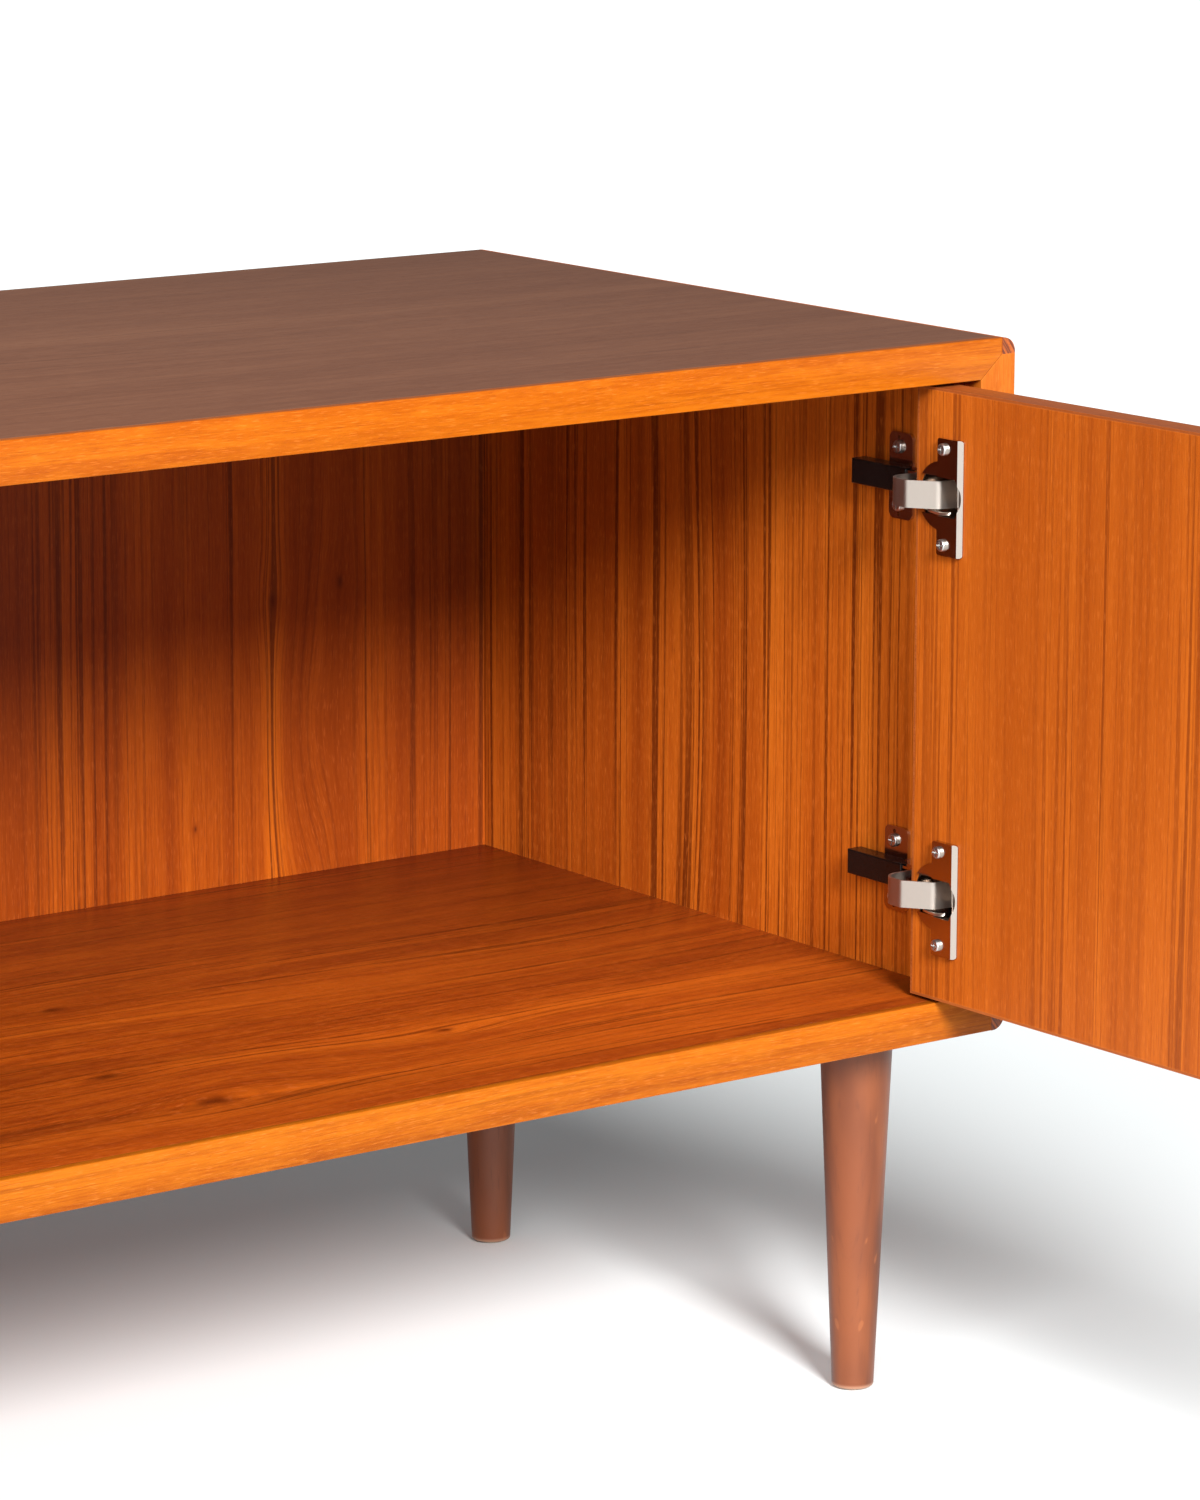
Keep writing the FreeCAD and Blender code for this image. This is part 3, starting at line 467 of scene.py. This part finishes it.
def dress_solid_wood():
    dress("top_front_lipping", lipping_teak(
        "lipping_level", "X", "Z", 51.0, SOLID_TEAK, lines=0.35, lines_from=0.58, drift=0.006,
        flecks=0.25, mottle=0.30, rough=0.40))
    # the bottom lipping gets a darker copy of the top lipping's teak, a painted shade
    dress("bottom_front_lipping", lipping_teak(
        "lipping_bottom", "X", "Z", 57.0, PAINTED_SHADE_LOW_TEAK, lines=0.6, lines_from=0.52, contrast=1.4, drift=0.008,
        flecks=0.3, mottle=0.40, rough=0.42, specular=0.10))
    upright = lipping_teak(
        "lipping_upright", "Z", "X", 55.0, UPRIGHT_TEAK, lines=0.35, lines_from=0.60, contrast=0.8,
        flecks=0.25, mottle=0.30, rough=0.40)
    for name in ("right_front_lipping", "left_front_lipping", "partition_front_lipping"):
        dress(name, upright)
    strip = end_grain("corner_strip_teak", "Y", 61.0)
    for name in nodes:
        if name.endswith("corner_strip"):
            dress(name, strip)
    edging = teak("edging_teak", "Y", "Z", 71.0, colours=EDGING_TEAK, lines=0.3, contrast=0.6, rough=0.45)
    for side in SIDES:
        dress(side + "_door_edging", edging)
        dress(side + "_door_knob", teak(side + "_knob_teak", "Y", "Z", 75.0, lines=0.4))
    for index, name in enumerate(n for n in nodes if n.endswith("_leg")):
        dress(name, leg_wood(name + "_wood", 80.0 + 3 * index))
    dress("partition_dowels", teak("beech_dowel", "Z", "X", 91.0, colours=BEECH, lines=0.2))
    dress("corner_splines", teak("beech_spline", "Y", "X", 93.0, colours=BEECH, lines=0.2))


def dress_hardware():
    nickel = metal("nickel", (0.58, 0.50, 0.44), 0.15)
    satin = metal("satin_nickel", (0.50, 0.44, 0.39), 0.34, brushed=0.10)
    zinc = metal("zinc", (0.66, 0.65, 0.64), 0.34)
    black = plastic("black_cover", (0.003, 0.0025, 0.0025), 0.20, 0.08)
    nylon = plastic("nylon", (0.42, 0.38, 0.33), 0.50, 0.25)
    for name in nodes:
        if "screw" in name or name in ("leg_studs", "leg_insert_nuts"):
            dress(name, zinc)
        elif "outer_link" in name:
            dress(name, satin)
        elif "arm_covers" in name:
            dress(name, black)
        elif "hinge" in name:
            dress(name, nickel)
        elif name == "leg_glides":
            dress(name, nylon)


def ease(name, width, segments=2):
    """Round the sharp edges of a carried-over piece a little, so that they catch the light."""
    obj = nodes[name]
    weld = obj.modifiers.new("weld", "WELD")
    weld.merge_threshold = 1e-6
    flat = obj.modifiers.new("flat", "DECIMATE")
    flat.decimate_type = "DISSOLVE"
    flat.angle_limit = math.radians(0.5)
    bevel = obj.modifiers.new("ease", "BEVEL")
    bevel.width = width
    bevel.segments = segments
    bevel.limit_method = "ANGLE"
    bevel.angle_limit = math.radians(50)
    bevel.harden_normals = True
    for polygon in obj.data.polygons:
        polygon.use_smooth = True


# ---------------------------------------------------------------- hinge springs

# The clip's profile: places along the cup's mouth, and how deep the clip lies there, as shares.
SPRING_ROWS = ((-1.0, 0.60), (-0.72, 0.42), (-0.30, 0.30), (0.10, 0.34), (0.55, 0.52), (0.80, 0.86),
               (0.92, 1.20))
SPRING_HALF_LENGTH = 0.0085
SPRING_DEPTH = 0.0029
SPRING_CURL = 0.0007
SPRING_UNDER_MIDDLE = 0.0083    # just below the outer link
SPRING_WIDTH = 0.0017
SPRING_WAVE = 0.0005
SPRING_SHEET = 0.0007
SPRING_FROM_END = 0.0188        # middle of the clip, from the far edge of the open door's cup


def spring_corners(side, hinge):
    """Corners of the clip, two to a row, in the mouth of the cup."""
    low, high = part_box("_".join((side, hinge, "hinge_cup")))
    is_open = high[1] - low[1] > high[0] - low[0]
    middle_x = (low[0] + high[0]) / 2
    middle_z = (low[2] + high[2]) / 2
    corners = []
    for along, sunk in SPRING_ROWS:
        for level in (0.0, 1.0):
            inward = SPRING_DEPTH * sunk + SPRING_CURL * math.sin(3.0 * along + 2.0 * level)
            wave = SPRING_WAVE * math.cos(2.6 * along)
            z = middle_z - SPRING_UNDER_MIDDLE - SPRING_WIDTH * level - wave
            if is_open:
                x = low[0] + inward if side == "right" else high[0] - inward
                y = low[1] + SPRING_FROM_END - along * SPRING_HALF_LENGTH
            else:
                x = middle_x + along * SPRING_HALF_LENGTH
                y = high[1] - inward
            corners.append((x, y, z))
    return corners


def closing_spring(side, hinge, material):
    """Bent spring clip in the mouth of a hinge cup, beside the link, on the door."""
    corners = spring_corners(side, hinge)
    faces = [(i, i + 1, i + 3, i + 2) for i in range(0, len(corners) - 2, 2)]
    mesh = bpy.data.meshes.new("spring")
    mesh.from_pydata(corners, [], faces)
    for polygon in mesh.polygons:
        polygon.use_smooth = True
    mesh.materials.append(material)
    clip = bpy.data.objects.new("_".join((side, hinge, "hinge_closing_spring")), mesh)
    bpy.context.scene.collection.objects.link(clip)
    sheet = clip.modifiers.new("sheet", "SOLIDIFY")
    sheet.thickness = SPRING_SHEET
    edges = clip.modifiers.new("ease", "BEVEL")
    edges.width = 0.0002
    edges.segments = 2
    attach(clip, side + "_door")


# ---------------------------------------------------------------- floor, light, camera

FLOOR_HALF = 30.0
FLOOR_COLOUR = (0.85, 0.88, 0.88, 1.0)
ROOM_COLOUR, ROOM_STRENGTH = (0.92, 0.97, 1.0, 1.0), 0.22
BACKDROP_COLOUR = (1.0, 1.0, 1.0, 1.0)
# Name, strength, how wide the lamp looks in degrees, and where its light goes.
LAMPS = (("key", 6.4, 16, (0.30, 0.95, -0.53)), ("fill", 2.1, 34, (0.80, 0.60, -0.50)))


def make_stage():
    """A large pale floor under the legs."""
    mesh = bpy.data.meshes.new("floor")
    corners = [(FLOOR_HALF * x, FLOOR_HALF * y, 0) for x, y in ((-1, -1), (1, -1), (1, 1), (-1, 1))]
    mesh.from_pydata(corners, [], [(0, 1, 2, 3)])
    floor = bpy.data.objects.new("floor", mesh)
    bpy.context.scene.collection.objects.link(floor)
    g = Graph("floor_white")
    g.set("Base Color", FLOOR_COLOUR)
    g.set("Roughness", 0.75)
    g.set("Specular IOR Level", 0.2)
    mesh.materials.append(g.material)
    floor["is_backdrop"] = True


def make_world():
    """Dim even light all round, and a backdrop that looks white."""
    world = bpy.data.worlds.new("studio")
    world.use_nodes = True
    tree = world.node_tree
    room = tree.nodes["Background"]
    room.inputs[0].default_value = ROOM_COLOUR
    room.inputs[1].default_value = ROOM_STRENGTH
    backdrop = tree.nodes.new("ShaderNodeBackground")
    backdrop.inputs[0].default_value = BACKDROP_COLOUR
    ray = tree.nodes.new("ShaderNodeLightPath")
    choose = tree.nodes.new("ShaderNodeMixShader")
    tree.links.new(ray.outputs["Is Camera Ray"], choose.inputs[0])
    tree.links.new(room.outputs[0], choose.inputs[1])
    tree.links.new(backdrop.outputs[0], choose.inputs[2])
    tree.links.new(choose.outputs[0], tree.nodes["World Output"].inputs[0])
    bpy.context.scene.world = world


def make_lamps():
    """A soft key light from the front left, and a wide fill from further left."""
    for name, strength, spread, towards in LAMPS:
        data = bpy.data.lights.new(name, "SUN")
        data.energy = strength
        data.angle = math.radians(spread)
        lamp = bpy.data.objects.new(name, data)
        lamp.rotation_euler = Vector(towards).to_track_quat("-Z", "Y").to_euler()
        bpy.context.scene.collection.objects.link(lamp)


# The photograph's camera, fitted to the edges of the carcase, the door and the front leg.
CAMERA_ANGLES = (36.42, 11.87, 0.09)                # yaw, downward pitch and roll, in degrees
CAMERA_FROM_BAY = (-1.96439, -2.31795, 0.77489)     # from the lower front corner of the right bay
FOCAL_LENGTH = 5687.0           # in pixels of the photograph
PHOTO_HEIGHT = 1500.0
SENSOR = 36.0                   # mm, along the photograph's height


def make_camera():
    """The camera stands to the left of the open bay and looks down into it."""
    yaw, pitch, roll = (math.radians(a) for a in CAMERA_ANGLES)
    forward = Vector((math.sin(yaw) * math.cos(pitch), math.cos(yaw) * math.cos(pitch), -math.sin(pitch)))
    level = Vector((math.cos(yaw), -math.sin(yaw), 0.0))
    above = level.cross(forward)
    right = level * math.cos(roll) + above * math.sin(roll)
    up = above * math.cos(roll) - level * math.sin(roll)
    data = bpy.data.cameras.new("camera")
    data.sensor_width = SENSOR
    data.lens = FOCAL_LENGTH * SENSOR / PHOTO_HEIGHT
    data.clip_end = 100.0
    camera = bpy.data.objects.new("camera", data)
    turn = Matrix((right, up, -forward)).transposed().to_4x4()
    camera.matrix_world = Matrix.Translation(bay_front + Vector(CAMERA_FROM_BAY)) @ turn
    bpy.context.scene.collection.objects.link(camera)
    bpy.context.scene.camera = camera


make_camera()
make_stage()
make_world()
make_lamps()
bpy.context.scene.view_settings.view_transform = "Standard"
dress_boards()
dress_solid_wood()
dress_hardware()
for board in ("top_panel", "bottom_panel", "top_front_lipping", "bottom_front_lipping"):
    ease(board, 0.0005)
spring_metal = metal("spring_nickel", (0.80, 0.72, 0.62), 0.28, brushed=0.10)
for side_name in SIDES:
    for hinge_name in HINGES:
        closing_spring(side_name, hinge_name, spring_metal)
